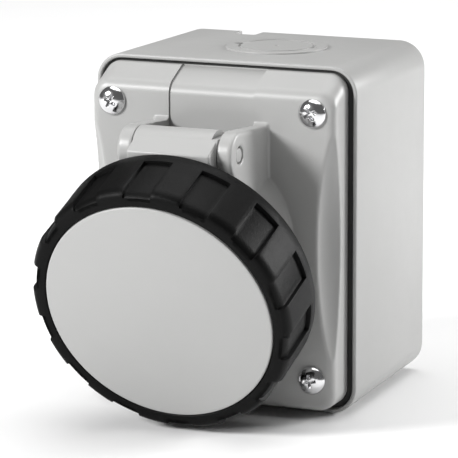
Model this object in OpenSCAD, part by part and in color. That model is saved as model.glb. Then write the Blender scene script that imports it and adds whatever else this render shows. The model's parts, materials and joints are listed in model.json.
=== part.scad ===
/* [Back box] */
// Width of the wall box
box_w = 92; // [84:1:110]
// Height of the wall box
box_h = 115; // [106:1:140]
// Depth of the wall box, wall to front rim
box_d = 67; // [58:0.5:80]
// Corner radius of the wall box
box_r = 9; // [7:0.5:12]
// Wall thickness of the wall box
box_wall = 3; // [2.5:0.1:3.5]
// Thickness of the front rim
rim_t = 1.4; // [1.2:0.1:2.2]
// Width of the gap between rim and cover
groove_w = 1.9; // [1.4:0.1:2.2]

/* [Wall fixing] */
// Distance across the wall holes
wall_hole_dx = 46; // [40:1:50]
// Distance up the wall holes
wall_hole_dz = 90; // [84:1:94]
// Diameter of the wall holes
wall_hole_d = 5.2; // [4:0.1:6]

/* [Cable entry] */
// Diameter of the top knock-out
knockout_d = 25; // [20:0.5:28]
// Sideways offset of the knock-out
knockout_x = 4.5; // [-6:0.5:6]

/* [Front cover] */
// Height of the cover face in front of the rim
cover_rise = 11.5; // [10:0.5:14]
// Wall thickness of the cover
cover_wall = 2.8; // [2.2:0.1:3.2]
// Drop of the sloping top side
top_drop = 4.5; // [2:0.5:6]
// Width of the gap between rim and cover along the top
top_gap = 0.8; // [0.6:0.1:1.4]
// Width of the sunk middle strip
strip_w = 30; // [28:0.5:32]
// Depth of the sunk middle strip
strip_sink = 0.9; // [0.5:0.1:1.2]
// Width of the side scallops on the face
scallop_w = 6; // [3:0.5:7]
// Length of the side scallops
scallop_len = 76; // [50:1:80]

/* [Cover screws] */
// Diameter of the screw heads
head_d = 9.5; // [8:0.1:10]
// Diameter of the screw threads
thread_d = 4; // [3:0.1:4.5]
// Distance of a screw from the cover side
screw_edge_x = 7.6; // [6:0.1:8]
// Distance of a screw from the cover end
screw_edge_z = 10.4; // [9:0.1:12]

/* [Inlet] */
// Height of the inlet axis above the box centre at the cover face
inlet_up = 0.5; // [-1:0.5:2]
// Downward tilt of the inlet axis
tilt = 20; // [12:1:22]
// Outside diameter of the inlet shroud
shroud_d = 56; // [54:0.5:60]
// Wall thickness of the inlet shroud
shroud_t = 2.8; // [2.2:0.1:3.2]
// Reach of the shroud from the cover face
shroud_out = 41.7; // [38:0.1:45]
// Diameter of the line and neutral pins
pin_d = 5; // [4:0.1:6]
// Diameter of the earth pin
earth_d = 7; // [6:0.1:8]
// Diameter of the pin circle
pin_circle = 28; // [26:0.5:30]
// Length of the pins inside the shroud
pin_out = 35; // [30:0.5:38]

/* [Hinge] */
// Gap between the foot of the inlet tube and the hinge knuckle
hinge_gap = 2.6; // [1.6:0.1:5]
// Reach of the hinge pin from the cover face along the inlet axis
hinge_out = 10.4; // [9.4:0.1:11.4]
// Diameter of the hinge pin
hinge_d = 5; // [4:0.1:6]
// Thickness of each hinge ear
ear_t = 5; // [4:0.1:6]
// Radius of the rounded ear ends
ear_r = 7.5; // [6.5:0.1:7.5]

/* [Lid and ring] */
// Diameter of the pale lid face
lid_d = 77; // [75:0.5:79]
// Thickness of the lid plate
lid_t = 3; // [2.5:0.1:3.5]
// Outside diameter of the bayonet ring
ring_d = 88.6; // [87:0.2:92]
// Length of the bayonet ring
ring_len = 23.8; // [22:0.1:24]
// Number of grip pockets round the ring
grip_n = 14; // [10:1:18]
// Depth of the grip pockets
grip_t = 1.7; // [1:0.1:2]
// Turn of the ring from open to locked
lock_turn = 45; // [40:1:50]

/* [Hidden] */
$fn = 96;
far = 400;

// colours of the materials
pale = [0.80, 0.80, 0.79];
black = [0.10, 0.10, 0.10];
dark = [0.16, 0.16, 0.17];
rubber = [0.07, 0.07, 0.07];
chrome = [0.75, 0.75, 0.77];
brass = [0.78, 0.62, 0.32];
nickel = [0.72, 0.71, 0.68];

// box and cover outlines
inset = rim_t + groove_w;
cover_w = box_w - 2 * inset;
cover_h = box_h - 2 * inset;
cover_r = box_r - inset;
face_y = box_d + cover_rise;
shelf_w = 4.4;
shelf_y = box_d - 3;
gasket_t = 1.8;
cover_y0 = shelf_y + gasket_t;
screw_x = cover_w / 2 - screw_edge_x;
screw_z = cover_h / 2 - screw_edge_z;
boss_r = 4.6;
insert_r = thread_d / 2 + 1.1;
insert_len = 8;
screw_len = face_y - shelf_y + insert_len + 1;
side_round = 3;
top_lift = groove_w - top_gap;
strip_foot = 18;
scallop_dip = scallop_w / sqrt(2);
scallop_r = (scallop_len * scallop_len / 4 + scallop_dip * scallop_dip) / (2 * scallop_dip);

// inlet and hinge, measured along and across the inlet axis
shroud_r = shroud_d / 2;
bore_r = shroud_r - shroud_t;
turret_r = shroud_r + 0.4;
turret_s = 15;
tube_back = -(cover_wall + (shroud_r + 1) * sin(tilt)) / cos(tilt);
carrier_gasket_t = 1;
flange_t = 3;
flange_s = tube_back - carrier_gasket_t;
boss_ring = shroud_r + 2.5;
boss_turns = [30, 150, 270];
carrier_front = 2;
carrier_back = flange_s - flange_t - 12;
retainer_t = 5;
terminal_s = flange_s - flange_t - 6;
seat_r = bore_r - 0.3;
rear_r = 22;
shank_r = 4;
earth_shank_r = 4.6;
pin_turns = [-18, 54, 126, 198];
line_turns = [-18, 54, 126];
neutral_turn = 198;
earth_turn = 270;
knuckle_r = ear_r + 0.1;
hinge_up = turret_r + hinge_gap + knuckle_r;
ear_lap = 0.2;
ear_fall = 5;
ear_x = strip_w / 2 - ear_lap;
hinge_len = 2 * (ear_x + ear_t) - 0.4;
knuckle_len = 2 * ear_x - 0.5;
arm_w = knuckle_len - 0.7;

// lid and ring, measured out from the cover face along the inlet axis
plate_back = shroud_out + 1.4;
disc_front = plate_back + lid_t;
lid_r = lid_d / 2;
skirt_r = lid_r - 1.1;
skirt_t = 2;
skirt_back = disc_front - 14.7;
lip_r = lid_r - 0.2;
collar_r = skirt_r + 0.2;
ring_r = ring_d / 2;
ring_front = disc_front - 0.3;
ring_back = ring_front - ring_len;
ring_bore_r = lid_r + 0.7;
lug_turn = 16;
lug_t = 3.5;
lug_gap = 0.6;
ring_lug_s = ring_back + 0.5;
fixed_lug_s = ring_lug_s + lug_t + lug_gap;

module at_inlet() {
    translate([0, -face_y, inlet_up]) rotate([tilt, 0, 0]) rotate([90, 0, 0]) children();
}

// places a body drawn along +z on the inlet axis at a turn and a radius
module on_circle(turn, rad) {
    rotate([0, 0, turn]) translate([rad, 0, 0]) children();
}

// lays a body drawn along +z so it runs out from the wall
module outward(x, y, z) {
    translate([x, y, z]) rotate([90, 0, 0]) children();
}

module plate(w, h, r, y0, y1) {
    outward(0, -y0, 0) linear_extrude(y1 - y0) rounded(w, h, r);
}

module rounded(w, h, r) {
    square([w - 2 * r, h], center = true);
    square([w, h - 2 * r], center = true);
    for (x = [-1, 1]) for (z = [-1, 1]) translate([x * (w / 2 - r), z * (h / 2 - r)]) circle(r);
}

// a tube along the inlet axis
module tube(r1, r0, s0, s1) {
    difference() {
        translate([0, 0, s0]) cylinder(r = r1, h = s1 - s0);
        translate([0, 0, s0 - 1]) cylinder(r = r0, h = s1 - s0 + 2);
    }
}

// a wedge of angle a about the inlet axis, centred on a turn
module wedge(turn, a, r, s0, s1) {
    rotate([0, 0, turn]) translate([0, 0, s0]) linear_extrude(s1 - s0)
        polygon([[0, 0], [r * 2, -r * 2 * tan(a / 2)], [r * 2, r * 2 * tan(a / 2)]]);
}

module screw_places() {
    for (x = [-1, 1]) for (z = [-1, 1]) translate([x * screw_x, 0, z * screw_z]) children();
}

module wall_places() {
    for (x = [-1, 1]) for (z = [-1, 1])
        translate([x * wall_hole_dx / 2, 0, z * wall_hole_dz / 2]) children();
}

/* the wall box: moulded shell with rim, gasket shelf, bosses, knock-out and notch */
module back_box() {
    color(pale) difference() {
        union() {
            difference() {
                plate(box_w, box_h, box_r, 0, box_d);
                plate(box_w - 2 * box_wall, box_h - 2 * box_wall, box_r - box_wall, box_wall, box_d + 1);
            }
            shelf();
            intersection() {
                screw_places() corner_boss();
                plate(box_w - 1, box_h - 1, box_r - 0.5, 1, shelf_y);
            }
            wall_places() outward(0, -1, 0) cylinder(r = wall_hole_d / 2 + 2, h = box_wall + 2);
            translate([knockout_x, -box_d / 2, box_h / 2 - 1]) cylinder(r = knockout_d / 2 + 4.5, h = 1.3);
        }
        plate(box_w - 2 * rim_t, box_h - 2 * rim_t, box_r - rim_t, shelf_y, box_d + 1);
        wall_places() outward(0, 1, 0) cylinder(r = wall_hole_d / 2, h = box_wall + 9);
        screw_places() outward(0, -shelf_y + insert_len, 0) cylinder(r = insert_r, h = insert_len + 1);
        screw_places() outward(0, -shelf_y + insert_len + 6, 0) cylinder(r = thread_d / 2 + 0.2, h = 8);
        knockout_cut();
        notch();
    }
}

module shelf() {
    difference() {
        plate(box_w - 1, box_h - 1, box_r - 0.5, shelf_y - 4, shelf_y);
        plate(box_w - 2 * (rim_t + shelf_w), box_h - 2 * (rim_t + shelf_w), box_r - rim_t - 2,
            shelf_y - 5, shelf_y + 1);
    }
}

module corner_boss() {
    outward(0, -1, 0) cylinder(r = boss_r, h = shelf_y - 1);
    translate([0, -shelf_y / 2, 0]) cube([box_w - 2 * screw_x, shelf_y - 2, 3], center = true);
}

// the ring groove, the two corner slits and the centre dimple of the knock-out
module knockout_cut() {
    top = box_h / 2 + 0.3;
    translate([knockout_x, -box_d / 2, top]) {
        translate([0, 0, -1.3]) difference() {
            cylinder(r = knockout_d / 2 + 0.35, h = 2);
            translate([0, 0, -1]) cylinder(r = knockout_d / 2 - 0.35, h = 4);
        }
        for (a = [0, 180]) rotate([0, 0, a]) translate([knockout_d / 2, 0, -1.8])
            linear_extrude(3) polygon([[-0.2, -1.6], [2.4, 0], [-0.2, 1.6]]);
        translate([0, 0, -0.5]) cylinder(r = 0.6, h = 1);
    }
}

module notch() {
    translate([-box_w * 0.195 - 4, -8, box_h / 2 - box_wall - 1]) cube([8, 9, box_wall + 2]);
}

/* the seal that lies on the shelf under the cover edge */
module box_gasket() {
    color(rubber) difference() {
        plate(box_w - 2 * rim_t - 0.3, box_h - 2 * rim_t - 0.3, box_r - rim_t - 0.15, shelf_y, cover_y0);
        plate(box_w - 2 * (rim_t + 3.6), box_h - 2 * (rim_t + 3.6), box_r - rim_t - 2,
            shelf_y - 1, cover_y0 + 1);
        screw_places() outward(0, -shelf_y + 1, 0) cylinder(r = thread_d / 2 + 0.6, h = gasket_t + 2);
    }
}

/* the cover: a dished moulding with the hinge ears and the tilted inlet shroud */
module cover_solid(g, y0) {
    w = cover_w - 2 * g;
    h = cover_h - 2 * g;
    q = side_round - min(g, 1.5);
    difference() {
        intersection() {
            translate([0, 0, top_lift / 2])
                plate(w, h + top_lift, max(cover_r - g, 1.5), y0, face_y - g);
            translate([-far / 2, 0, 0]) rotate([90, 0, 90]) linear_extrude(far) side_shape(g, h, q);
            translate([0, 0, -far / 2]) linear_extrude(far) plan_shape(g, w, q);
        }
        scallops(g);
    }
}

// outline seen from the side: sloping top, square bottom, rounded front edges
module side_shape(g, h, q) {
    yf = -(face_y - g);
    zt = h / 2 - top_drop;
    polygon([[0, h / 2 + top_lift], [-box_d - 1, h / 2 + top_lift], [yf + q, zt + q * 0.1], [yf + q * 0.3, zt - q * 0.3],
        [yf, zt - q], [yf, -h / 2 + q], [yf + q * 0.3, -h / 2 + q * 0.3], [yf + q, -h / 2], [0, -h / 2]]);
}

// outline seen from above: straight sides with rounded front edges
module plan_shape(g, w, q) {
    yf = -(face_y - g);
    translate([-w / 2, yf + q]) square([w, -yf - q]);
    translate([-w / 2 + q, yf]) square([w - 2 * q, -yf]);
    for (x = [-1, 1]) translate([x * (w / 2 - q), yf + q]) circle(q);
}

module front_cover() {
    color(pale) difference() {
        union() {
            difference() {
                cover_solid(0, cover_y0);
                strip_cut();
                cover_hollow();
            }
            cover_tubes();
            ears();
            inlet_tube();
        }
        screw_places() outward(0, -cover_y0 + 1, 0) cylinder(r = thread_d / 2 + 0.3, h = far);
        at_inlet() translate([0, 0, tube_back - 9]) cylinder(r = bore_r, h = far);
        at_inlet() for (a = boss_turns) on_circle(a, boss_ring) translate([0, 0, tube_back - 1])
            cylinder(r = 1.4, h = 7);
        hinge_line() cylinder(r = hinge_d / 2 + 0.03, h = far, center = true);
    }
}

module cover_hollow() {
    difference() {
        cover_solid(cover_wall, cover_y0 - 1);
        screw_places() outward(0, -1, 0) cylinder(r = boss_r, h = far);
        at_inlet() translate([0, 0, tube_back]) cylinder(r = shroud_r, h = far);
    }
}

module cover_tubes() {
    intersection() {
        at_inlet() for (a = boss_turns) on_circle(a, boss_ring) translate([0, 0, tube_back])
            cylinder(r = 3.4, h = 26);
        cover_solid(0.5, cover_y0);
    }
}

// everything inside the strip width that stands proud of the sunk surface
module strip_cut() {
    difference() {
        translate([-strip_w / 2, -face_y - 1, strip_foot]) cube([strip_w, cover_rise + 1, cover_h]);
        translate([-far / 2, 0, 0]) rotate([90, 0, 90]) linear_extrude(far)
            side_shape(strip_sink, cover_h - 2 * strip_sink, side_round);
    }
}

// long shallow hollows that take off the edge between face and side, g inside the surface
module scallops(g) {
    out = (scallop_r - scallop_dip) / sqrt(2);
    for (x = [-1, 1]) translate([x * (cover_w / 2 + out), -face_y - out, 0]) rotate([0, 0, x * 45])
        rotate([0, 90, 0]) cylinder(r = scallop_r + g, h = 4 * cover_rise, center = true);
}

// the hinge line, with the body drawn along x and centred
module hinge_line() {
    at_inlet() translate([0, hinge_up, hinge_out]) rotate([0, 90, 0]) children();
}

module ears() {
    for (x = [-1, 1]) scale([x, 1, 1]) {
        intersection() {
            at_inlet() translate([ear_x, 0, 0]) rotate([90, 0, 90]) linear_extrude(ear_t) ear_shape();
            outward(0, -face_y + cover_wall - 0.5, 0) linear_extrude(far) square([far, far], center = true);
        }
        hinge_line() translate([0, 0, ear_x]) rotate_extrude()
            polygon([[0, 0], [ear_r, 0], [ear_r, ear_t - 1], [ear_r - 1, ear_t], [0, ear_t]]);
        translate([ear_x, -face_y - 0.8, ear_root_z() - 1]) cube([ear_t - 0.3, 2, 1.9]);
    }
}

// height of the ear top where it meets the cover face
function ear_root_z() = inlet_up - hinge_out * sin(tilt) + hinge_up * cos(tilt) + ear_r * cos(ear_fall)
    - (hinge_out * cos(tilt) + hinge_up * sin(tilt) - ear_r * sin(ear_fall)) * tan(ear_fall);

// outline of an ear in the plane of the hinge: across the axis, then along it
module ear_shape() {
    top_a = -tilt - ear_fall;
    pin = [hinge_up, hinge_out];
    foot = [sqrt(turret_r * turret_r - pow(ear_x + ear_t, 2)) - 1, turret_s - 1];
    front_a = atan2(foot[1] - pin[1], foot[0] - pin[0]) - acos(ear_r / norm(foot - pin));
    top = pin + ear_r * [cos(top_a), sin(top_a)];
    back = 50;
    polygon([top, top + back * [sin(top_a), -cos(top_a)], [foot[0], hinge_out - back], foot,
        pin + ear_r * [cos(front_a), sin(front_a)]]);
}

module inlet_tube() {
    at_inlet() {
        translate([0, 0, tube_back]) cylinder(r = shroud_r, h = shroud_out - tube_back);
        for (t = [0, 180]) difference() {
            intersection() {
                translate([0, 0, fixed_lug_s]) cylinder(r = shroud_r + lug_t, h = lug_t);
                wedge(t - lock_turn, lug_turn, shroud_r + lug_t, fixed_lug_s, fixed_lug_s + lug_t);
            }
            translate([0, 0, fixed_lug_s - 1]) cylinder(r = shroud_r - 1, h = lug_t + 2);
        }
        translate([-2.5, -shroud_r - 2, turret_s - 1]) cube([5, 4, shroud_out - turret_s - 1.3]);
    }
    difference() {
        at_inlet() translate([0, 0, tube_back]) cylinder(r = turret_r, h = turret_s - tube_back);
        outward(0, far - face_y + cover_wall / 2, 0) linear_extrude(far) square([far, far], center = true);
    }
}

/* four chrome pan-head screws that hold the cover */
module cover_screws() {
    color(chrome) screw_places() difference() {
        union() {
            outward(0, -face_y + screw_len, 0) cylinder(r = thread_d / 2, h = screw_len + 0.1);
            outward(0, -face_y, 0) pan_head(head_d / 2, 2.6);
        }
        outward(0, -face_y - 1.2, 0) cross_recess(head_d * 0.52, 3);
    }
}

// a pan head: low drum with a domed top
module pan_head(r, h) {
    intersection() {
        cylinder(r = r, h = h);
        translate([0, 0, h - r * 1.7]) sphere(r = r * 1.7);
    }
}

module cross_recess(w, h) {
    for (a = [0, 90]) rotate([0, 0, a]) translate([-w / 2, -0.55, 0]) cube([w, 1.1, h]);
}

/* brass threaded inserts in the corner bosses */
module cover_inserts() {
    color(brass) screw_places() outward(0, -shelf_y + insert_len, 0) difference() {
        cylinder(r = insert_r - 0.02, h = insert_len);
        translate([0, 0, -1]) cylinder(r = thread_d / 2 + 0.03, h = insert_len + 2);
    }
}

/* plain pin through both ears and the lid knuckle */
module hinge_pin() {
    color(pale) hinge_line() cylinder(r = hinge_d / 2, h = hinge_len, center = true);
}

/* insulating carrier that holds the pins inside the shroud */
module contact_carrier() {
    color(dark) at_inlet() difference() {
        union() {
            translate([0, 0, flange_s - 1]) cylinder(r = seat_r, h = carrier_front - flange_s + 1);
            translate([0, 0, flange_s - flange_t]) cylinder(r = shroud_r - 0.5, h = flange_t);
            for (a = boss_turns) on_circle(a, boss_ring) translate([0, 0, flange_s - flange_t])
                cylinder(r = 3.4, h = flange_t);
            translate([0, 0, carrier_back]) cylinder(r = rear_r, h = flange_s - carrier_back);
        }
        for (a = boss_turns) on_circle(a, boss_ring) translate([0, 0, flange_s - flange_t - 1])
            cylinder(r = 1.7, h = flange_t + 2);
        for (a = pin_turns) on_circle(a, pin_circle / 2) pin_hole(pin_d / 2, shank_r);
        on_circle(earth_turn, pin_circle / 2) pin_hole(earth_d / 2, earth_shank_r);
        for (a = pin_turns) terminal_hole(a, 2.4);
        terminal_hole(earth_turn, 2.8);
        for (a = [18, 162]) on_circle(a, 17) translate([0, 0, carrier_back - 1]) cylinder(r = 1.2, h = 9);
    }
}

module pin_hole(r, shank) {
    translate([0, 0, carrier_back - 1]) cylinder(r = r + 0.63, h = carrier_front - carrier_back + 2);
    translate([0, 0, carrier_back - 1]) cylinder(r = shank + 0.05, h = 13);
}

module terminal_hole(turn, r) {
    rotate([0, 0, turn]) translate([pin_circle / 2 + 1, 0, terminal_s]) rotate([0, 90, 0])
        cylinder(r = r, h = rear_r);
}

/* seal between the carrier flange and the back of the inlet tube */
module carrier_gasket() {
    color(rubber) at_inlet() tube(shroud_r - 0.5, bore_r + 0.2, flange_s, tube_back);
}

/* screws that hold the carrier to the cover from inside */
module carrier_screws() {
    color(chrome) at_inlet() for (a = boss_turns) on_circle(a, boss_ring) {
        translate([0, 0, flange_s - flange_t]) cylinder(r = 1.37, h = flange_t + carrier_gasket_t + 5);
        translate([0, 0, flange_s - flange_t - 2]) difference() {
            cylinder(r = 3, h = 2);
            translate([0, 0, -1]) cross_recess(3.2, 2);
        }
    }
}

/* plate behind the carrier that keeps the pins from pushing back */
module pin_retainer() {
    color(dark) at_inlet() difference() {
        translate([0, 0, carrier_back - retainer_t]) cylinder(r = rear_r, h = retainer_t);
        for (a = pin_turns) on_circle(a, pin_circle / 2) translate([0, 0, carrier_back - retainer_t - 1])
            cylinder(r = 2.6, h = retainer_t + 2);
        on_circle(earth_turn, pin_circle / 2) translate([0, 0, carrier_back - retainer_t - 1])
            cylinder(r = 2.8, h = retainer_t + 2);
        for (a = [18, 162]) on_circle(a, 17) translate([0, 0, carrier_back - retainer_t - 1])
            cylinder(r = 1.4, h = retainer_t + 2);
    }
}

/* two screws that join the plate to the carrier */
module retainer_screws() {
    color(chrome) at_inlet() for (a = [18, 162]) on_circle(a, 17) {
        translate([0, 0, carrier_back - retainer_t]) cylinder(r = 1.17, h = retainer_t + 7);
        translate([0, 0, carrier_back - retainer_t - 1.8]) difference() {
            cylinder(r = 2.4, h = 1.8);
            translate([0, 0, -1]) cross_recess(2.6, 1.9);
        }
    }
}

/* the contact pins: round-nosed pin and a shank with a wire hole and a screw hole */
module contact(r, shank, screw_r) {
    difference() {
        union() {
            translate([0, 0, carrier_front - 1]) cylinder(r = r, h = pin_out + 1 - r);
            translate([0, 0, carrier_back + 11]) cylinder(r = r + 0.6, h = carrier_front - carrier_back - 11);
            translate([0, 0, pin_out + carrier_front - r]) sphere(r = r);
            translate([0, 0, carrier_back + 0.1]) cylinder(r = shank, h = 11.8);
        }
        translate([0, 0, carrier_back - 1]) cylinder(r = shank - 1.8, h = 11);
        translate([0, 0, terminal_s]) rotate([0, 90, 0]) cylinder(r = screw_r + 0.03, h = 10);
    }
}

module line_pins() {
    color(nickel) at_inlet() for (a = line_turns) rotate([0, 0, a]) translate([pin_circle / 2, 0, 0])
        contact(pin_d / 2, shank_r, 1.5);
}

module neutral_pin() {
    color(nickel) at_inlet() rotate([0, 0, neutral_turn]) translate([pin_circle / 2, 0, 0])
        contact(pin_d / 2, shank_r, 1.5);
}

module earth_pin() {
    color(nickel) at_inlet() rotate([0, 0, earth_turn]) translate([pin_circle / 2, 0, 0])
        contact(earth_d / 2, earth_shank_r, 1.75);
}

/* screws that clamp the wires in the shanks */
module terminal_screw(r) {
    translate([0.5, 0, terminal_s]) rotate([0, 90, 0]) difference() {
        cylinder(r = r, h = 7);
        translate([-r, -0.3, 5.8]) cube([2 * r, 0.6, 2]);
    }
}

module line_terminal_screws() {
    color(chrome) at_inlet() for (a = pin_turns) rotate([0, 0, a]) translate([pin_circle / 2, 0, 0])
        terminal_screw(1.5);
}

module earth_terminal_screw() {
    color(chrome) at_inlet() rotate([0, 0, earth_turn]) translate([pin_circle / 2, 0, 0])
        terminal_screw(1.75);
}

/* rubber ring at the foot of the shroud that seals against the mated connector */
module mating_seal() {
    color(rubber) at_inlet() tube(bore_r - 0.05, bore_r - 3.6, carrier_front, carrier_front + 2.2);
}

/* the lid: pale face, skirt with a snap lip, arm and hinge knuckle */
module lid() {
    color(pale) difference() {
        union() {
            at_inlet() {
                translate([0, 0, disc_front - 2.5]) cylinder(r = lid_r, h = 2.5);
                translate([0, 0, plate_back]) cylinder(r = skirt_r, h = lid_t - 1);
                tube(skirt_r, skirt_r - skirt_t, skirt_back, plate_back + 1);
                tube(lip_r, skirt_r - skirt_t, skirt_back, skirt_back + 2);
            }
            arm();
            hinge_line() cylinder(r = knuckle_r, h = knuckle_len, center = true);
        }
        hinge_line() cylinder(r = hinge_d / 2 + 0.08, h = far, center = true);
    }
}

// the arm: a block behind the ring and a curved tongue that runs inside it
module arm() {
    front = ring_back - 0.5;
    at_inlet() {
        translate([-arm_w / 2, 0, 0]) rotate([90, 0, 90]) linear_extrude(arm_w) polygon([
            [hinge_up + knuckle_r - 0.05, hinge_out - 0.8],
            [ring_r - 0.4, front],
            [skirt_r - skirt_t, front],
            [hinge_up - knuckle_r + 2.2, hinge_out + 5],
            [hinge_up, hinge_out - 2]]);
        intersection() {
            tube(lip_r, skirt_r - skirt_t, hinge_out + 6, skirt_back + 2);
            translate([-arm_w / 2 + 1.5, 10, 0]) cube([arm_w - 3, far, far]);
        }
    }
}

/* seal inside the lid that presses on the shroud edge */
module lid_gasket() {
    color(rubber) at_inlet() tube(skirt_r - skirt_t - 0.05, bore_r - 2, shroud_out + 0.1, plate_back);
}

/* the black locking ring with grip pockets outside and two lugs inside */
module bayonet_ring() {
    color(black) at_inlet() difference() {
        union() {
            ring_body();
            for (t = [0, 180]) intersection() {
                tube(ring_bore_r + 1, shroud_r + 1.2, ring_lug_s, ring_lug_s + lug_t);
                wedge(t, lug_turn, ring_r, ring_lug_s, ring_lug_s + lug_t);
            }
        }
        for (i = [0 : grip_n - 1]) pocket(90 + i * 360 / grip_n);
    }
}

module ring_body() {
    rotate_extrude() polygon([
        [ring_bore_r, ring_back], [ring_r - 0.8, ring_back], [ring_r, ring_back + 0.8],
        [ring_r, ring_front - 3.4], [ring_r - 0.7, ring_front - 1.4], [ring_r - 1.9, ring_front],
        [lid_r + 0.3, ring_front], [lid_r + 0.3, disc_front - 2.7],
        [collar_r, disc_front - 2.7], [collar_r, skirt_back + 2.2], [ring_bore_r, skirt_back + 2.2]]);
}

module pocket(turn) {
    a = 180 / grip_n;
    s0 = ring_back + 4.6;
    difference() {
        wedge(turn, a, ring_r, s0, ring_front + 1);
        translate([0, 0, s0 - 1]) cylinder(r = ring_r - grip_t, h = ring_len + 3);
    }
}

back_box();
box_gasket();
front_cover();
cover_screws();
cover_inserts();
hinge_pin();
contact_carrier();
carrier_gasket();
carrier_screws();
pin_retainer();
retainer_screws();
line_pins();
neutral_pin();
earth_pin();
line_terminal_screws();
earth_terminal_screw();
mating_seal();
lid();
lid_gasket();
bayonet_ring();
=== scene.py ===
import json
import math
import bmesh
import bpy
from mathutils import Matrix, Vector


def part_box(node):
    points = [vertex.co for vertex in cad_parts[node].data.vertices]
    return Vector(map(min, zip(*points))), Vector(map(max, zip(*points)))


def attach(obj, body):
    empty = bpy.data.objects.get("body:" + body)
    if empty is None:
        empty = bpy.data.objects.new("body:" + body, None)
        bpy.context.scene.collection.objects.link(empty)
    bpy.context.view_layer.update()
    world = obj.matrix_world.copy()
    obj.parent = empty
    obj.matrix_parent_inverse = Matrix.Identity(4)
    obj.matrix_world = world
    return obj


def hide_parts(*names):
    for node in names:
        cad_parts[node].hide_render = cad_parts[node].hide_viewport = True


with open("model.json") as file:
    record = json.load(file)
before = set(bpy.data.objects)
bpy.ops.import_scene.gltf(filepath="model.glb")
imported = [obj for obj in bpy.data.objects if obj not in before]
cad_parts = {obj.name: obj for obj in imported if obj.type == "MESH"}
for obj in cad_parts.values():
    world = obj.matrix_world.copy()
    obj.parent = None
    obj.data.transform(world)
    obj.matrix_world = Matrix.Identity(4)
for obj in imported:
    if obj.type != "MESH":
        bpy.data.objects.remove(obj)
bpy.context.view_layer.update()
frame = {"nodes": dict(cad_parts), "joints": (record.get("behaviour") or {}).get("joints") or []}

# ---------------------------------------------------------------------------------------
# Wall box: one deep box of light grey thermoplastic, injection moulded, open at the front.
# It has a thin front rim, a round knock-out on top for the cable gland and a notch at the
# back edge, and it is screwed to the wall through four holes in its back.
# ---------------------------------------------------------------------------------------
mm = 0.001
box_low, box_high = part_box("back_box")
box_size = Vector((box_high.x - box_low.x, box_high.y - box_low.y, -2 * box_low.z))
box_corner = 9 * mm
rim_wall = 1.4 * mm
shelf_depth = 3 * mm
back_wall = 3 * mm
shelf_wall = 4.4 * mm
front_taper = (0.982, 1, 0.986)
rim_round = 0.55 * mm
wall_hole_x, wall_hole_z, wall_hole_r = 23 * mm, 45 * mm, 2.6 * mm
pale_dark, pale_light = (0.345, 0.345, 0.34), (0.385, 0.385, 0.38)


def start_piece(name):
    """Names the primitive that was just added and opens it in edit mode."""
    piece = bpy.context.object
    piece.name = piece.data.name = name
    bpy.ops.object.transform_apply(location=True, rotation=True, scale=True)
    bpy.ops.object.mode_set(mode="EDIT")
    return piece


def pick(kind, rule):
    """Selects the faces, edges or points that the rule is true for, and nothing else."""
    bpy.ops.mesh.select_mode(type=kind)
    bpy.ops.mesh.select_all(action="DESELECT")
    mesh = bmesh.from_edit_mesh(bpy.context.object.data)
    parts = {"FACE": mesh.faces, "EDGE": mesh.edges, "VERT": mesh.verts}[kind]
    for part in parts:
        if rule(part):
            part.select_set(True)
    bmesh.update_edit_mesh(bpy.context.object.data)


def along(edge, axis):
    """True for an edge that runs along one axis, 0, 1 or 2."""
    run = edge.verts[1].co - edge.verts[0].co
    return abs(run[axis]) > 0.999 * run.length


def finish_with(piece, kind, **settings):
    """Adds a modifier to the piece and applies it."""
    bpy.ops.object.select_all(action="DESELECT")
    bpy.context.view_layer.objects.active = piece
    piece.select_set(True)
    modifier = piece.modifiers.new(kind.lower(), kind)
    for setting, value in settings.items():
        setattr(modifier, setting, value)
    bpy.ops.object.modifier_apply(modifier=modifier.name)


def cut(piece, cutter, operation="DIFFERENCE"):
    """Cuts a shape out of the piece, or adds it, and throws the shape away."""
    finish_with(piece, "BOOLEAN", object=cutter, operation=operation, solver="EXACT")
    bpy.data.objects.remove(cutter)


def soften(piece, degrees):
    bpy.ops.object.select_all(action="DESELECT")
    bpy.context.view_layer.objects.active = piece
    piece.select_set(True)
    bpy.ops.object.shade_smooth_by_angle(angle=math.radians(degrees))


class Wire:
    """One socket of a shader, so that its maths can be written as plain sums."""

    def __init__(self, tree, socket):
        self.tree, self.socket = tree, socket

    def node(self, kind, settings, sockets, out=0):
        made = self.tree.nodes.new(kind)
        for setting, value in settings.items():
            if setting == "stops":
                ramp = made.color_ramp
                ramp.elements[0].position, ramp.elements[-1].position = value
            else:
                setattr(made, setting, value)
        for socket, value in sockets.items():
            if isinstance(value, Wire):
                self.tree.links.new(value.socket, made.inputs[socket])
            else:
                made.inputs[socket].default_value = value
        return Wire(self.tree, made.outputs[out])

    def math(self, operation, first, second):
        return self.node("ShaderNodeMath", {"operation": operation}, {0: first, 1: second})

    def __add__(self, other):
        return self.math("ADD", self, other)

    __radd__ = __add__

    def __mul__(self, other):
        return self.math("MULTIPLY", self, other)

    __rmul__ = __mul__

    def __sub__(self, other):
        return self.math("SUBTRACT", self, other)

    def __rsub__(self, other):
        return self.math("SUBTRACT", other, self)

    def noise(self, scale, detail=2.0, rough=0.5):
        return self.node(
            "ShaderNodeTexNoise", {}, {"Vector": self, "Scale": scale, "Detail": detail,
                                       "Roughness": rough})

    def between(self, low, high):
        """This 0 to 1 value, as a value from low to high."""
        return low + (high - low) * self

    def blend(self, dark, light):
        """A colour between two colours, by this 0 to 1 value."""
        return self.node("ShaderNodeMix", {"data_type": "RGBA"},
                         {"Factor": self, 6: (*dark, 1), 7: (*light, 1)}, out=2)


def new_finish(name):
    """A material, its shader and the place on the piece, in metres."""
    material = bpy.data.materials.new(name)
    material.use_nodes = True
    tree = material.node_tree
    shader = tree.nodes["Principled BSDF"]
    place = Wire(tree, tree.nodes.new("ShaderNodeTexCoord").outputs["Object"])
    return material, shader, place


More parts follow.
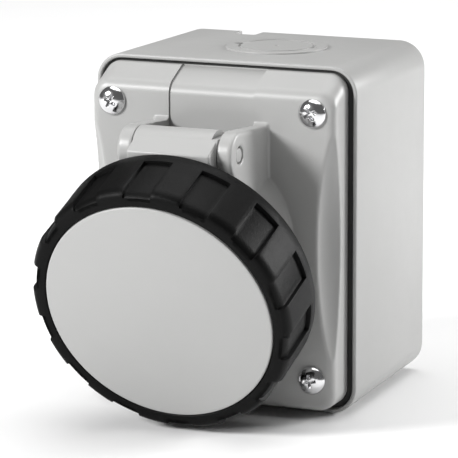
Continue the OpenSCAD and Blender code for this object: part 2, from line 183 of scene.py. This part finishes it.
def feed(shader, **inputs):
    """Wires or constants into the shader's sockets, named with _ for a space."""
    for name, value in inputs.items():
        socket = shader.inputs[name.replace("_", " ")]
        if isinstance(value, Wire):
            value.tree.links.new(value.socket, socket)
        else:
            socket.default_value = value


def moulded(name, dark, light, gloss, grain, grain_size):
    """Moulded plastic: slow colour drift, patchy sheen and the fine spark-eroded grain."""
    material, shader, place = new_finish(name)
    drift = place.noise(28, 3)
    sheen = place.noise(160, 4, 0.6)
    texture = place.noise(grain_size, 2, 0.65)
    flow = place.noise(45, 2)
    height = texture * 0.8 + flow * 0.2
    bump = place.node("ShaderNodeBump", {}, {"Strength": grain, "Distance": 0.0003,
                                             "Height": height})
    feed(shader, Base_Color=drift.blend(dark, light), Normal=bump,
         Roughness=sheen.between(gloss - 0.04, gloss + 0.05), IOR=1.5)
    return material


bpy.ops.object.select_all(action="DESELECT")
bpy.ops.mesh.primitive_cube_add(size=1, location=(0, -box_size.y / 2, 0), scale=box_size)
wall_box = start_piece("wall_box")
pick("FACE", lambda face: face.normal.y > 0.9)
bpy.ops.transform.resize(value=front_taper)
pick("EDGE", lambda edge: abs(edge.verts[0].co.y - edge.verts[1].co.y) > box_size.y / 2)
bpy.ops.mesh.bevel(offset=box_corner, segments=12)
pick("FACE", lambda face: face.normal.y < -0.9)
bpy.ops.mesh.inset(thickness=rim_wall)
bpy.ops.mesh.extrude_region_move(TRANSFORM_OT_translate={"value": (0, shelf_depth, 0)})
bpy.ops.mesh.inset(thickness=shelf_wall)
bpy.ops.mesh.extrude_region_move(
    TRANSFORM_OT_translate={"value": (0, box_size.y - shelf_depth - back_wall, 0)})
bpy.ops.object.mode_set(mode="OBJECT")
finish_with(wall_box, "BEVEL", width=rim_round, segments=3, limit_method="ANGLE",
            angle_limit=math.radians(50))

knock_x, knock_y = 4.5 * mm, -box_size.y / 2
knock_r, pad_r, pad_up = 12.5 * mm, 17 * mm, 0.3 * mm
groove_r, mark_r, mark_out, centre_r = 0.5 * mm, 2.4 * mm, 0.7 * mm, 0.7 * mm
top = box_size.z / 2
bpy.ops.object.select_all(action="DESELECT")
bpy.ops.mesh.primitive_cylinder_add(vertices=96, radius=pad_r, depth=1.3 * mm,
                                    location=(knock_x, knock_y, top + pad_up - 0.65 * mm))
pad = start_piece("pad")
pick("EDGE", lambda edge: min(v.co.z for v in edge.verts) > top)
bpy.ops.mesh.bevel(offset=0.22 * mm, segments=3)
bpy.ops.object.mode_set(mode="OBJECT")
cut(wall_box, pad, "UNION")

bpy.ops.object.select_all(action="DESELECT")
bpy.ops.mesh.primitive_torus_add(major_segments=96, minor_segments=12, major_radius=knock_r,
                                 minor_radius=groove_r,
                                 location=(knock_x, knock_y, top + 0.25 * mm))
cut(wall_box, bpy.context.object)
for side in (-1, 1):
    bpy.ops.object.select_all(action="DESELECT")
    bpy.ops.mesh.primitive_cylinder_add(
        vertices=3, radius=mark_r, depth=3 * mm, rotation=(0, 0, -side * math.pi / 2),
        location=(knock_x + side * (knock_r + mark_out), knock_y, top + 0.2 * mm))
    cut(wall_box, bpy.context.object)
bpy.ops.object.select_all(action="DESELECT")
bpy.ops.mesh.primitive_uv_sphere_add(segments=24, ring_count=12, radius=centre_r,
                                     location=(knock_x, knock_y, top + 0.35 * mm))
cut(wall_box, bpy.context.object)

notch_x, notch_w = -box_size.x * 0.195, 8 * mm
bpy.ops.object.select_all(action="DESELECT")
bpy.ops.mesh.primitive_cube_add(
    size=1, location=(notch_x, -3.5 * mm, top), scale=(notch_w, 9 * mm, notch_w))
notch = start_piece("notch")
pick("EDGE", lambda edge: along(edge, 2) and edge.verts[0].co.y < -6 * mm)
bpy.ops.mesh.bevel(offset=1.2 * mm, segments=5)
bpy.ops.object.mode_set(mode="OBJECT")
cut(wall_box, notch)
for x in (-wall_hole_x, wall_hole_x):
    for z in (-wall_hole_z, wall_hole_z):
        bpy.ops.object.select_all(action="DESELECT")
        bpy.ops.mesh.primitive_cylinder_add(vertices=48, radius=wall_hole_r, depth=12 * mm,
                                            location=(x, -2 * mm, z),
                                            rotation=(math.pi / 2, 0, 0))
        cut(wall_box, bpy.context.object)
soften(wall_box, 32)
wall_box.data.materials.append(
    moulded("light_grey_box", pale_dark, pale_light, 0.40, 0.10, 2600))
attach(wall_box, "enclosure")
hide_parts("back_box")

# ---------------------------------------------------------------------------------------
# Rubber seals: the flat gasket under the cover edge, the one behind the contact carrier,
# the ring at the foot of the inlet and the ring inside the lid. They are cut or moulded
# from dull black rubber and held by the parts that squeeze them.
# ---------------------------------------------------------------------------------------


def rubber(name):
    """Dull rubber with a little bloom and a pitted skin."""
    material, shader, place = new_finish(name)
    bloom = place.noise(220, 4, 0.6)
    pits = place.noise(3200, 2)
    bump = place.node("ShaderNodeBump", {}, {"Strength": 0.18, "Distance": 0.0002,
                                             "Height": pits})
    feed(shader, Base_Color=bloom.blend((0.012, 0.012, 0.012), (0.022, 0.022, 0.021)),
         Roughness=bloom.between(0.62, 0.78), Normal=bump)
    return material


seal_rubber = rubber("seal_rubber_black")
for name in ("box_gasket", "carrier_gasket", "mating_seal", "lid_gasket"):
    frame["nodes"][name].data.materials.clear()
    frame["nodes"][name].data.materials.append(seal_rubber)

# ---------------------------------------------------------------------------------------
# Front cover: a dished light grey moulding with a sloping top side, soft front edges, a
# sunk strip down the middle, two long side hollows and the two ears of the lid hinge, all
# from one mould, so every inside corner has a small fillet.
# ---------------------------------------------------------------------------------------
hinge = next(j for j in frame["joints"] if j["name"] == "lid_hinge")
turn = next(j for j in frame["joints"] if j["name"] == "ring_turn")
pin_place = Vector(hinge["pos_m"])
inward = Vector(turn["axis"]).normalized()
upward = Vector((0, -inward.z, inward.y))
turn_out = 32 * mm
root = Vector(turn["pos_m"]) + inward * turn_out
# the inlet's own frame: x across, y up the face of the inlet, z out along its axis
inlet = Matrix.Translation(root) @ Matrix(
    ((1, 0, 0, 0), (0, upward.y, -inward.y, 0), (0, upward.z, -inward.z, 0), (0, 0, 0, 1)))
pin_up = (pin_place - root).dot(upward)
pin_out = -(pin_place - root).dot(inward)
groove = 1.9 * mm
cover_w = box_size.x - 2 * (rim_wall + groove)
cover_h = box_size.z - 2 * (rim_wall + groove)
face_y = root.y
cover_back = face_y + 12.7 * mm
top_lift = groove - 0.8 * mm
edge_back = box_low.y - 0.6 * mm
top_fall = 4.2 * mm
cover_corner, cover_round = 5.7 * mm, 2.6 * mm
strip_half = 15 * mm
strip_sink = 0.5 * mm
ear_t, ear_r, ear_round, ear_fall, ear_reach = 5 * mm, 7.5 * mm, 1 * mm, 5, 27 * mm
ear_in = strip_half - 0.2 * mm
ear_out = ear_in + ear_t
ledge_z = 38.3 * mm
shroud_r, bore_r, foot_r = 28 * mm, 25.2 * mm, 28.4 * mm
pin_hole_r = 2.85 * mm
foot_out = 15 * mm

bpy.ops.object.select_all(action="DESELECT")
bpy.ops.mesh.primitive_cube_add(
    size=1, location=(0, (face_y + cover_back) / 2, top_lift / 2),
    scale=(cover_w, cover_back - face_y, cover_h + top_lift))
cover = start_piece("cover")
bpy.ops.mesh.bisect(plane_co=(0, edge_back, 0), plane_no=(0, 1, 0))
pick("EDGE", lambda edge: all(v.co.z > 40 * mm and v.co.y < face_y + 1 * mm
                              for v in edge.verts))
bpy.ops.transform.translate(value=(0, 0, -top_fall - top_lift))
pick("EDGE", lambda edge: abs(edge.verts[0].co.y - edge.verts[1].co.y) > 1 * mm)
bpy.ops.mesh.bevel(offset=cover_corner, segments=10)
pick("FACE", lambda face: face.normal.y < -0.95)
bpy.ops.mesh.region_to_loop()
bpy.ops.mesh.bevel(offset=cover_round, segments=6)
bpy.ops.object.mode_set(mode="OBJECT")

# the strip between the ears: what stands proud of a copy of the cover set back goes later
bpy.ops.object.select_all(action="DESELECT")
cover.select_set(True)
bpy.context.view_layer.objects.active = cover
bpy.ops.object.duplicate()
sunk = bpy.context.object
bpy.ops.object.mode_set(mode="EDIT")
bpy.ops.mesh.select_all(action="SELECT")
bpy.ops.transform.translate(value=(0, strip_sink, -strip_sink))
bpy.ops.object.mode_set(mode="OBJECT")
bpy.ops.object.select_all(action="DESELECT")
bpy.ops.mesh.primitive_cube_add(size=1, location=(0, face_y, 40 * mm),
                                scale=(2 * strip_half, 24 * mm, 50 * mm))
strip = bpy.context.object
strip.name = "strip"
cut(strip, sunk)

hollow_w, hollow_len = 6 * mm, 76 * mm
dip = hollow_w / math.sqrt(2)
hollow_r = (hollow_len ** 2 / 4 + dip ** 2) / (2 * dip)
trough_r, trough_deep = 10 * mm, 0.9 * mm
reach = (hollow_r - dip) / math.sqrt(2)
for side in (-1, 1):
    bpy.ops.object.select_all(action="DESELECT")
    bpy.ops.mesh.primitive_torus_add(
        major_segments=720, minor_segments=72, minor_radius=trough_r,
        major_radius=hollow_r + trough_deep - trough_r,
        rotation=(0, math.pi / 2, side * math.pi / 4),
        location=(side * (cover_w / 2 + reach), face_y - reach, 0))
    hollow = start_piece("hollow")
    bpy.ops.object.mode_set(mode="OBJECT")
    cut(cover, hollow)


def trace(name, points, closed):
    """Draws a line through the points in the inlet's frame, one extruded point at a time."""
    bpy.ops.object.select_all(action="DESELECT")
    bpy.ops.mesh.primitive_plane_add(size=mm)
    piece = start_piece(name)
    bpy.ops.mesh.select_mode(type="VERT")
    bpy.ops.mesh.select_all(action="SELECT")
    bpy.ops.mesh.merge(type="CENTER")
    bpy.ops.mesh.select_all(action="SELECT")
    bpy.ops.transform.translate(value=points[0])
    for here, there in zip(points, points[1:]):
        step = [b - a for a, b in zip(here, there)]
        bpy.ops.mesh.extrude_region_move(TRANSFORM_OT_translate={"value": step})
    if closed:
        bpy.ops.mesh.select_all(action="SELECT")
        bpy.ops.mesh.edge_face_add()
    return piece


def seat(piece):
    """Lays a piece drawn in the inlet's frame where it belongs, with its place in its mesh."""
    bpy.ops.object.mode_set(mode="OBJECT")
    piece.matrix_world = inlet
    bpy.ops.object.transform_apply(location=True, rotation=True, scale=True)


# the ear's top edge falls towards the wall, its front edge runs down to the tube's foot
slant = math.atan2(inward.z, inward.y)
top_turn = -slant - math.radians(ear_fall)
ear_foot = (math.sqrt(foot_r ** 2 - ear_out ** 2) - 1 * mm, foot_out - 1 * mm)
foot_up, foot_away = ear_foot[0] - pin_up, ear_foot[1] - pin_out
front_turn = (math.atan2(foot_away, foot_up)
              - math.acos(ear_r / math.hypot(foot_up, foot_away)))
ear_line = []
for step in range(17):
    angle = top_turn + step * (front_turn - top_turn) / 16
    ear_line.append((pin_up + ear_r * math.cos(angle), pin_out + ear_r * math.sin(angle)))
ear_line.append(ear_foot)
ear_line.append((ear_foot[0], pin_out - ear_reach))
ear_line.append((ear_line[0][0] + ear_reach * math.sin(top_turn),
                 ear_line[0][1] - ear_reach * math.cos(top_turn)))
for side in (-1, 1):
    ear = trace("ear", [(side * ear_in, v, s) for v, s in ear_line], True)
    bpy.ops.mesh.extrude_region_move(TRANSFORM_OT_translate={"value": (side * ear_t, 0, 0)})
    bpy.ops.mesh.select_all(action="SELECT")
    bpy.ops.mesh.normals_make_consistent(inside=False)
    pick("EDGE", lambda edge: all(abs(v.co.x) > ear_out - 0.8 * mm for v in edge.verts))
    bpy.ops.mesh.bevel(offset=ear_round, segments=4)
    seat(ear)
    bpy.ops.object.select_all(action="DESELECT")
    bpy.ops.mesh.primitive_cube_add(
        size=1, location=(side * (ear_in + ear_t / 2), face_y + 0.2 * mm, ledge_z),
        scale=(ear_t, 2 * mm, 1.8 * mm))
    ledge = start_piece("ledge")
    bpy.ops.object.mode_set(mode="OBJECT")
    cut(ear, ledge, "UNION")
    bpy.ops.object.select_all(action="DESELECT")
    bpy.ops.mesh.primitive_cube_add(
        size=1, location=(0, cover_back + 49 * mm, 0),
        scale=(100 * mm, 100 * mm, 200 * mm))
    cut(ear, bpy.context.object)
    cut(cover, ear, "UNION")
bpy.ops.object.select_all(action="DESELECT")
bpy.ops.mesh.primitive_cylinder_add(vertices=128, radius=foot_r, depth=foot_out + 8 * mm,
                                    location=(0, 0, (foot_out - 8 * mm) / 2))
foot = start_piece("foot")
seat(foot)
cut(cover, foot, "UNION")
bpy.ops.object.select_all(action="DESELECT")
bpy.ops.mesh.primitive_cylinder_add(vertices=64, radius=pin_hole_r, depth=60 * mm,
                                    rotation=(0, math.pi / 2, 0), location=pin_place)
cut(cover, bpy.context.object)
bpy.ops.object.select_all(action="DESELECT")
bpy.ops.mesh.primitive_cylinder_add(vertices=128, radius=bore_r + 1 * mm, depth=90 * mm)
bore = start_piece("bore")
seat(bore)
cut(cover, bore)
finish_with(cover, "REMESH", mode="VOXEL", voxel_size=0.5 * mm)
finish_with(cover, "SMOOTH", factor=0.5, iterations=2)
bpy.ops.object.mode_set(mode="EDIT")
pick("FACE", lambda face: face.calc_center_median().y > cover_back - 0.4 * mm)
bpy.ops.mesh.dissolve_limited(angle_limit=math.radians(3))
bpy.ops.object.mode_set(mode="OBJECT")
cut(cover, strip)
soften(cover, 40)
cover_grey = moulded("light_grey_cover", pale_dark, pale_light, 0.38, 0.08, 2600)
cover.data.materials.append(cover_grey)
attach(cover, "enclosure")
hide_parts("front_cover")

# ---------------------------------------------------------------------------------------
# Inlet tube: the round shroud of the plug with its thicker foot, two bayonet lugs and the
# key rib at the bottom. It is moulded in one with the cover and stands out at a slant.
# ---------------------------------------------------------------------------------------


def lathe(piece, steps):
    """Turns the drawn line once round the inlet axis and closes it."""
    bpy.ops.mesh.select_all(action="SELECT")
    bpy.ops.mesh.spin(steps=steps, angle=2 * math.pi, center=(0, 0, 0), axis=(0, 0, 1))
    bpy.ops.mesh.select_all(action="SELECT")
    bpy.ops.mesh.remove_doubles(threshold=0.001 * mm)
    bpy.ops.mesh.normals_make_consistent(inside=False)


def close_line():
    """Joins the two ends of the drawn line."""
    pick("VERT", lambda point: len(point.link_edges) == 1)
    bpy.ops.mesh.edge_face_add()


tube_out, tube_in = 41.7 * mm, 10 * mm
tube_line = [(bore_r, -tube_in), (shroud_r, -tube_in), (shroud_r, tube_out - 0.6 * mm),
             (shroud_r - 0.2 * mm, tube_out - 0.2 * mm), (shroud_r - 0.6 * mm, tube_out),
             (bore_r + 0.6 * mm, tube_out), (bore_r + 0.2 * mm, tube_out - 0.2 * mm),
             (bore_r, tube_out - 0.6 * mm)]
tube = trace("inlet_tube", [(r, 0, s) for r, s in tube_line], False)
close_line()
lathe(tube, 144)
seat(tube)
lug_s = 25.55 * mm
for turned in (135, -45):
    bpy.ops.object.select_all(action="DESELECT")
    bpy.ops.mesh.primitive_cube_add(size=1, location=(shroud_r + 1.5 * mm, 0, lug_s),
                                    scale=(4.4 * mm, 8.4 * mm, 3.4 * mm))
    lug = start_piece("lug")
    bpy.ops.mesh.select_all(action="SELECT")
    bpy.ops.mesh.bevel(offset=0.6 * mm, segments=3)
    bpy.ops.object.mode_set(mode="OBJECT")
    lug.matrix_world = inlet @ Matrix.Rotation(math.radians(turned), 4, "Z")
    bpy.ops.object.transform_apply(location=True, rotation=True, scale=True)
    cut(tube, lug, "UNION")
bpy.ops.object.select_all(action="DESELECT")
bpy.ops.mesh.primitive_cube_add(size=1, location=(0, -foot_r, 27 * mm),
                                scale=(5 * mm, 3 * mm, 26 * mm))
rib = start_piece("rib")
bpy.ops.mesh.select_all(action="SELECT")
bpy.ops.mesh.bevel(offset=0.5 * mm, segments=3)
seat(rib)
cut(tube, rib, "UNION")
soften(tube, 32)
tube.data.materials.append(cover_grey)
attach(tube, "enclosure")
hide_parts("front_cover")

# ---------------------------------------------------------------------------------------
# Cover screws: four M4 pan-head machine screws with a cross recess, cold-headed steel with
# a bright chrome plate, driven into brass inserts in the wall box.
# ---------------------------------------------------------------------------------------
head_r = 4.75 * mm
cross_w, cross_t = 5.4 * mm, 1.15 * mm


def plated(name, colour, gloss, streak):
    """Plated or turned metal: fine streaks of polish and faint handling marks."""
    material, shader, place = new_finish(name)
    marks = place.noise(900, 3, 0.6)
    haze = place.noise(350, 2)
    bump = place.node("ShaderNodeBump", {}, {"Strength": streak, "Distance": 0.0001,
                                             "Height": marks})
    dull = tuple(c * 0.9 for c in colour)
    feed(shader, Base_Color=haze.blend(dull, colour), Metallic=1.0,
         Roughness=marks.between(gloss, gloss + 0.1), Normal=bump)
    return material


head_line = [(0, 2.6), (1.2, 2.57), (2.2, 2.42), (3.1, 2.1), (3.8, 1.66), (4.35, 1.1),
             (4.68, 0.6), (4.75, 0.25), (4.6, 0.02), (2.0, 0.0), (2.0, -6.0), (0, -6.0)]
bpy.ops.object.select_all(action="DESELECT")
screw = trace("cover_screw", [(r * mm, 0, h * mm) for r, h in head_line], False)
lathe(screw, 72)
bpy.ops.object.mode_set(mode="OBJECT")
for turned in (0, 90):
    bpy.ops.object.select_all(action="DESELECT")
    bpy.ops.mesh.primitive_cube_add(size=1, location=(0, 0, 1.9 * mm),
                                    scale=(cross_w, cross_t, 2.4 * mm))
    slot = start_piece("slot")
    pick("FACE", lambda face: face.normal.z < -0.9)
    bpy.ops.transform.resize(value=(0.45, 0.6, 1))
    bpy.ops.object.mode_set(mode="OBJECT")
    slot.rotation_euler = (0, 0, math.radians(turned))
    cut(screw, slot)
finish_with(screw, "BEVEL", width=0.12 * mm, segments=2, limit_method="ANGLE",
            angle_limit=math.radians(40))
chrome = plated("bright_chrome", (0.78, 0.78, 0.79), 0.10, 0.03)
screw_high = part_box("cover_screws")[1]
screw_x, screw_z = screw_high.x - head_r, screw_high.z - head_r
for x, z, turned in ((-1, 1, 62), (1, 1, 28), (1, -1, 8), (-1, -1, 40)):
    bpy.ops.object.select_all(action="DESELECT")
    screw.select_set(True)
    bpy.context.view_layer.objects.active = screw
    bpy.ops.object.duplicate()
    copy = bpy.context.object
    copy.name = "cover_screw_" + ("top" if z > 0 else "bottom") + (
        "_right" if x > 0 else "_left")
    copy.matrix_world = (Matrix.Translation((x * screw_x, face_y, z * screw_z))
                         @ Matrix.Rotation(math.pi / 2, 4, "X")
                         @ Matrix.Rotation(math.radians(turned), 4, "Z"))
    bpy.ops.object.transform_apply(location=True, rotation=True, scale=True)
    soften(copy, 30)
    copy.data.materials.append(chrome)
    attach(copy, "enclosure")
    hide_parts("cover_screws")
bpy.data.objects.remove(screw)

# ---------------------------------------------------------------------------------------
# Hinge pin: a plain moulded pin pushed through both ears and the lid's knuckle, its ends
# just under the outer faces of the ears.
# ---------------------------------------------------------------------------------------
rod_r = 2.35 * mm
pin_low, pin_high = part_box("hinge_pin")
bpy.ops.object.select_all(action="DESELECT")
bpy.ops.mesh.primitive_cylinder_add(vertices=64, radius=rod_r,
                                    depth=pin_high.x - pin_low.x - 0.4 * mm,
                                    rotation=(0, math.pi / 2, 0), location=pin_place)
pin = start_piece("hinge_pin_rod")
pick("EDGE", lambda edge: len({round(v.co.x, 5) for v in edge.verts}) == 1)
bpy.ops.mesh.bevel(offset=0.35 * mm, segments=3)
bpy.ops.object.mode_set(mode="OBJECT")
soften(pin, 30)
pin.data.materials.append(moulded("light_grey_pin", pale_dark, pale_light, 0.38, 0.06, 2600))
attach(pin, "enclosure")
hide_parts("hinge_pin")

# ---------------------------------------------------------------------------------------
# Lid: the flat pale disc with its skirt, and the arm that joins it to the hinge knuckle.
# It is one light grey moulding; the black ring is snapped on over its skirt and turns.
# ---------------------------------------------------------------------------------------
disc_out, disc_t, lid_r = 46.1, 3.0, 38.5
skirt_r, skirt_in, skirt_back, lip_r = 37.4, 35.4, 31.4, 38.3
lid_line = [(0, disc_out), (lid_r - 0.6, disc_out), (lid_r - 0.25, disc_out - 0.1),
            (lid_r - 0.05, disc_out - 0.3), (lid_r, disc_out - 0.6), (lid_r, disc_out - 2.4),
            (skirt_r, disc_out - 2.6), (skirt_r, 33.6), (lip_r, 33.3), (lip_r, skirt_back),
            (skirt_in, skirt_back), (skirt_in, disc_out - disc_t), (0, disc_out - disc_t)]
lid = trace("lid_moulding", [(r * mm, 0, s * mm) for r, s in lid_line], False)
lathe(lid, 180)
seat(lid)
arm_half, knuckle_r, knuckle_w = 14.2 * mm, 7.6 * mm, 29.1 * mm
up, out = pin_up / mm, pin_out / mm
arm_line = [(up + 7.55, out - 0.8), (44.0, 21.6), (35.4, 21.6), (up - 5.4, out + 5.2),
            (up, out - 2)]
arm = trace("arm", [(-arm_half, v * mm, s * mm) for v, s in arm_line], True)
bpy.ops.mesh.extrude_region_move(TRANSFORM_OT_translate={"value": (2 * arm_half, 0, 0)})
bpy.ops.mesh.select_all(action="SELECT")
bpy.ops.mesh.normals_make_consistent(inside=False)
bpy.ops.mesh.bevel(offset=0.7 * mm, segments=3)
seat(arm)
bpy.ops.object.select_all(action="DESELECT")
bpy.ops.mesh.primitive_cylinder_add(vertices=96, radius=knuckle_r, depth=knuckle_w,
                                    rotation=(0, math.pi / 2, 0), location=pin_place)
knuckle = start_piece("knuckle")
pick("EDGE", lambda edge: len({round(v.co.x, 5) for v in edge.verts}) == 1)
bpy.ops.mesh.bevel(offset=0.4 * mm, segments=3)
bpy.ops.object.mode_set(mode="OBJECT")
cut(arm, knuckle, "UNION")
bpy.ops.object.select_all(action="DESELECT")
bpy.ops.mesh.primitive_cube_add(
    size=1, location=pin_place + Vector((14.3, 2.0, 8.0)) * mm, scale=(4 * mm, 15 * mm, 5 * mm))
cut(arm, bpy.context.object)
tongue_line = [(35.45, 17.5), (38.2, 17.5), (38.2, 33.0), (35.45, 33.0)]
tongue = trace("tongue", [(r * mm, 0, s * mm) for r, s in tongue_line], True)
bpy.ops.mesh.spin(steps=24, angle=math.radians(38), center=(0, 0, 0), axis=(0, 0, 1))
bpy.ops.mesh.select_all(action="SELECT")
bpy.ops.mesh.remove_doubles(threshold=0.001 * mm)
bpy.ops.mesh.normals_make_consistent(inside=False)
bpy.ops.object.mode_set(mode="OBJECT")
tongue.matrix_world = inlet @ Matrix.Rotation(math.radians(71), 4, "Z")
bpy.ops.object.transform_apply(location=True, rotation=True, scale=True)
cut(arm, tongue, "UNION")
bpy.ops.object.select_all(action="DESELECT")
bpy.ops.mesh.primitive_cylinder_add(vertices=64, radius=2.6 * mm, depth=60 * mm,
                                    rotation=(0, math.pi / 2, 0), location=pin_place)
cut(arm, bpy.context.object)
bpy.ops.object.select_all(action="DESELECT")
arm.select_set(True)
lid.select_set(True)
bpy.context.view_layer.objects.active = lid
bpy.ops.object.join()
soften(lid, 30)
lid.data.materials.append(
    moulded("light_grey_lid", (0.365, 0.365, 0.36), (0.385, 0.385, 0.38), 0.42, 0.07, 3000))
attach(lid, "lid_unit")
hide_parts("lid")

# ---------------------------------------------------------------------------------------
# Bayonet ring: a black glass-filled moulding round the lid, with fourteen grip pockets in
# its outside. The two lugs inside that draw the lid down when the ring is turned are not drawn.
# ---------------------------------------------------------------------------------------
ring_r, ring_back, ring_front = 44.3, 22.0, 45.8
ring_bore, lip_bore, groove_bore = 39.2, 38.8, 37.6
pocket_back, pocket_deep, pockets = ring_back + 4.6, 1.35, 14
ring_steps = 14 * pockets
bevel_line = [(ring_r, ring_front - 3.4), (ring_r - 0.12, ring_front - 2.5),
              (ring_r - 0.45, ring_front - 1.6), (ring_r - 1.0, ring_front - 0.7),
              (ring_r - 1.6, ring_front - 0.2), (ring_r - 2.3, ring_front)]
ring_line = [(ring_bore, ring_back), (ring_r - 0.9, ring_back), (ring_r - 0.3, ring_back + 0.2),
             (ring_r, ring_back + 0.8), (ring_r, pocket_back), *bevel_line,
             (lip_bore + 0.3, ring_front), (lip_bore, ring_front - 0.3), (lip_bore, 43.4),
             (groove_bore, 43.4), (groove_bore, 33.6), (ring_bore, 33.6)]
ring = trace("grip_ring", [(r * mm, 0, s * mm) for r, s in ring_line], False)
close_line()
lathe(ring, ring_steps)
floor_share = (ring_r - pocket_deep) / ring_r


def in_pocket(face):
    spot = face.calc_center_median()
    turned = math.degrees(math.atan2(spot.y, spot.x)) - 90
    pitch = 360 / pockets
    off = (turned + pitch / 2) % pitch - pitch / 2
    return (abs(off) < pitch / 4 and spot.z > pocket_back * mm
            and math.hypot(spot.x, spot.y) > (ring_r - 2.3) * mm)


pick("FACE", in_pocket)
bpy.ops.mesh.extrude_region_move(TRANSFORM_OT_translate={"value": (0, 0, 0)})
bpy.ops.transform.resize(value=(floor_share, floor_share, 1),
                         center_override=(0, 0, 0))
seat(ring)
finish_with(ring, "BEVEL", width=0.2 * mm, segments=2, limit_method="ANGLE",
            angle_limit=math.radians(42))
soften(ring, 30)


def black_mould():
    """Black glass-filled plastic: a coarse spark grain with a slow drift in its sheen."""
    material, shader, place = new_finish("black_ring")
    drift = place.noise(60, 3)
    grain = place.noise(1900, 3, 0.7)
    sheen = place.noise(260, 4, 0.6)
    bump = place.node("ShaderNodeBump", {}, {"Strength": 0.35, "Distance": 0.0003,
                                             "Height": grain})
    feed(shader, Base_Color=drift.blend((0.0015, 0.0015, 0.0015), (0.003, 0.003, 0.003)),
         Roughness=sheen.between(0.38, 0.48), Normal=bump, Specular_IOR_Level=0.10)
    return material


ring.data.materials.append(black_mould())
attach(ring, "ring")
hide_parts("bayonet_ring")

# ---------------------------------------------------------------------------------------
# Contacts and their carrier: a dark insulating block carries four nickel-plated brass pins
# and a thicker earth pin; a plate, screws and brass inserts hold it all inside the cover.
# ---------------------------------------------------------------------------------------
carrier_black = moulded("carrier_dark", (0.028, 0.028, 0.030), (0.04, 0.04, 0.043), 0.5, 0.2,
                        1500)
nickel = plated("nickel_brass", (0.72, 0.70, 0.65), 0.22, 0.05)
zinc = plated("zinc_steel", (0.62, 0.62, 0.63), 0.30, 0.08)
brass = plated("turned_brass", (0.78, 0.60, 0.30), 0.28, 0.08)
for name, material in (
        ("contact_carrier", carrier_black), ("pin_retainer", carrier_black),
        ("line_pins", nickel), ("neutral_pin", nickel), ("earth_pin", nickel),
        ("carrier_screws", zinc), ("retainer_screws", zinc), ("line_terminal_screws", zinc),
        ("earth_terminal_screw", zinc), ("cover_inserts", brass)):
    frame["nodes"][name].data.materials.clear()
    frame["nodes"][name].data.materials.append(material)

# ---------------------------------------------------------------------------------------
# Studio: a plain pale table, a soft light from the upper left, a weak one from behind on the
# right, a wide one overhead, and a camera above and to the right of the part.
# ---------------------------------------------------------------------------------------
bpy.ops.object.select_all(action="DESELECT")
bpy.ops.mesh.primitive_plane_add(size=14, location=(0, 2, box_low.z - 0.0002))
table = bpy.context.object
table.name = "table"
table_white, table_shader, table_place = new_finish("table_white")
feed(table_shader, Base_Color=table_place.noise(3).blend((0.86, 0.86, 0.86),
                                                         (0.88, 0.88, 0.88)),
     Roughness=0.85)
table.data.materials.append(table_white)


def soft_light(name, place, size, power, target):
    data = bpy.data.lights.new(name, "AREA")
    data.shape, data.size, data.energy = "DISK", size, power
    lamp = bpy.data.objects.new(name, data)
    bpy.context.scene.collection.objects.link(lamp)
    lamp.location = place
    lamp.rotation_euler = (Vector(target) - Vector(place)).to_track_quat("-Z", "Y").to_euler()


soft_light("key_light", (-1.25, -1.70, 1.05), 0.70, 62, (0, -0.08, 0))
soft_light("side_light", (1.05, 0.72, 0.40), 0.50, 17, (0, -0.04, 0))
soft_light("top_light", (0.0, 0.45, 2.0), 2.4, 36, (0, 0.45, 0))
world = bpy.data.worlds.new("room")
bpy.context.scene.world = world
world.use_nodes = True
world.node_tree.nodes["Background"].inputs["Color"].default_value = (1, 1, 1, 1)
world.node_tree.nodes["Background"].inputs["Strength"].default_value = 0.12

camera_data = bpy.data.cameras.new("camera")
camera = bpy.data.objects.new("camera", camera_data)
bpy.context.scene.collection.objects.link(camera)
camera_data.sensor_width, camera_data.lens = 36, 260.7
camera_data.clip_end = 50
azimuth, pitch, roll = math.radians(22.995), math.radians(11.823), math.radians(-0.192)
camera.location = (0.41784, -1.04869, 0.22465)
camera.rotation_euler = (Matrix.Rotation(azimuth, 3, "Z") @ Matrix.Rotation(
    math.pi / 2 - pitch, 3, "X") @ Matrix.Rotation(roll, 3, "Z")).to_euler()
bpy.context.scene.camera = camera
bpy.context.scene.view_settings.view_transform = "Standard"
